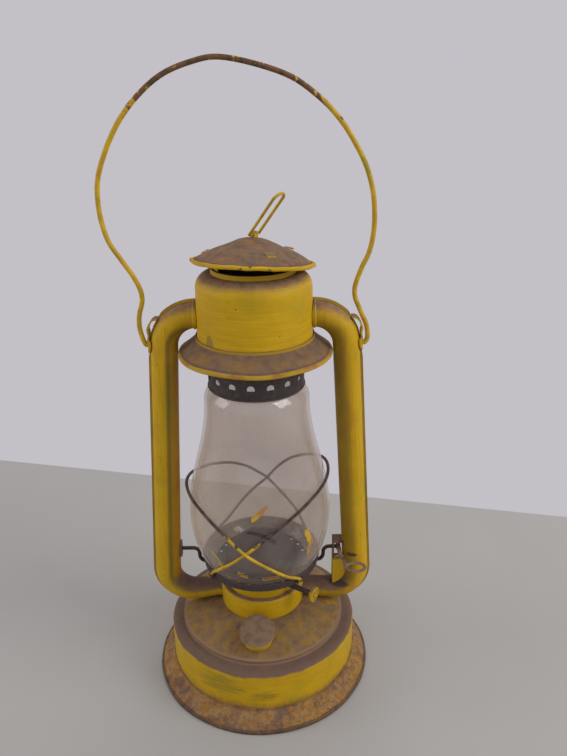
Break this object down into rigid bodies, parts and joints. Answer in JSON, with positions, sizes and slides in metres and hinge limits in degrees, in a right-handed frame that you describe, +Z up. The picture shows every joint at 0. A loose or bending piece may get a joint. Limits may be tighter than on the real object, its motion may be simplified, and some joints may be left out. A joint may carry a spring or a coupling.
{
  "type": "oil lantern",
  "caption": "Tubular oil lantern with a flared fuel tank, bent side air tubes, a glass globe in a wire guard, a vented chimney with a hood, and a swinging wire bail.",
  "frame": {"origin": "centre of the base's folded edge on the plane that the lantern stands on", "axes": "+Z up, +X to the side tube with the globe-lift lever, -Y to the filler cap and wick knob"},
  "size_m": [0.1782, 0.163, 0.4372],
  "materials": {
    "base": "rough",
    "tank_yellow": "satin",
    "tube_yellow": "satin",
    "canopy_yellow": "satin",
    "dusty": "rough",
    "hood_dusty": "rough",
    "dark_steel": "rough",
    "ring_dark": "rough",
    "rusty_wire": "rough",
    "bail_paint": "satin",
    "brass": "satin",
    "glass": "clear",
    "cotton": "matte",
    "cork": "matte",
    "knob_yellow": "satin"
  },
  "bodies": {
    "frame": {"base_skirt": "base", "tank_bottom": "base", "tank_shell": "tank_yellow", "tank_collar": "brass", "filler_neck": "tank_yellow", "air_cup": "tank_yellow", "burner_base": "brass", "burner_skirt": "tank_yellow", "wick_tube": "brass", "shaft_bearing": "brass", "left_tube": "tube_yellow", "right_tube": "tube_yellow", "tube_collars": "tube_yellow", "bail_ears": "tube_yellow", "canopy_shell": "canopy_yellow", "canopy_brim": "dusty", "chimney_spring": "dark_steel", "crank_bracket": "dark_steel", "bracket_eyelet": "brass", "journal_plate": "dark_steel"},
    "lift_crank": {"lift_crank": "dark_steel", "lift_lever": "rusty_wire"},
    "globe_carriage": {"globe_plate": "ring_dark", "burner_cone": "ring_dark", "globe": "glass", "guard_wire_left": "rusty_wire", "guard_wire_right": "rusty_wire", "guard_clips": "rusty_wire"},
    "chimney": {"perforated_ring": "ring_dark", "chimney_tube": "ring_dark", "hood": "hood_dusty", "hood_tabs": "hood_dusty", "loop_staple": "hood_dusty"},
    "lift_loop": {"lift_loop": "bail_paint"},
    "bail": {"bail": "bail_paint"},
    "wick_knob": {"wick_shaft": "brass", "wick_wheels": "brass", "wick_knob": "knob_yellow"},
    "wick": {"wick": "cotton"},
    "cap_gasket": {"cap_gasket": "cork"},
    "filler_cap": {"filler_cap": "dusty"}
  },
  "joints": [
    {"name": "crank_turn", "type": "hinge", "parent": "frame", "child": "lift_crank", "pos_m": [0, 0, 0.0995], "axis": [1, 0, 0], "range_deg": [0, 26]},
    {"name": "globe_lift", "type": "slide", "parent": "frame", "child": "globe_carriage", "axis": [0, 0, 1], "range_m": [0, 0.0136]},
    {"name": "chimney_lift", "type": "slide", "parent": "globe_carriage", "child": "chimney", "axis": [0, 0, 1], "range_m": [0, 0.016], "stiffness_N_per_m": 120, "springref_m": -0.03, "deforming": ["chimney_spring"]},
    {"name": "loop_swing", "type": "hinge", "parent": "chimney", "child": "lift_loop", "pos_m": [0.00096, 0.00225, 0.33429], "axis": [0.6428, 0.766, 0], "range_deg": [-50, 54]},
    {"name": "bail_swing", "type": "hinge", "parent": "frame", "child": "bail", "pos_m": [0, 0, 0.262], "axis": [1, 0, 0], "range_deg": [-145, 145]},
    {"name": "knob_turn", "type": "hinge", "parent": "frame", "child": "wick_knob", "pos_m": [-0.00294, -0.00453, 0.0805], "axis": [0.8387, -0.5446, 0], "range_deg": [-100, 50]},
    {"name": "wick_slide", "type": "slide", "parent": "frame", "child": "wick", "axis": [0, 0, 1], "range_m": [-0.0073, 0.0036]},
    {"name": "cap_rise", "type": "slide", "parent": "frame", "child": "cap_gasket", "axis": [-0.0179, -0.3416, 0.9397], "range_m": [0, 0.0051]},
    {"name": "cap_turn", "type": "hinge", "parent": "cap_gasket", "child": "filler_cap", "pos_m": [-0.00235, -0.04494, 0.05388], "axis": [-0.0179, -0.3416, 0.9397], "range_deg": [0, 900]}
  ],
  "couplings": [
    {"joint": "crank_turn", "follows": "globe_lift", "rad_per_m": 33.333},
    {"joint": "knob_turn", "follows": "wick_slide", "rad_per_m": 238.1},
    {"joint": "cap_rise", "follows": "cap_turn", "m_per_rad": 0.00031831}
  ]
}
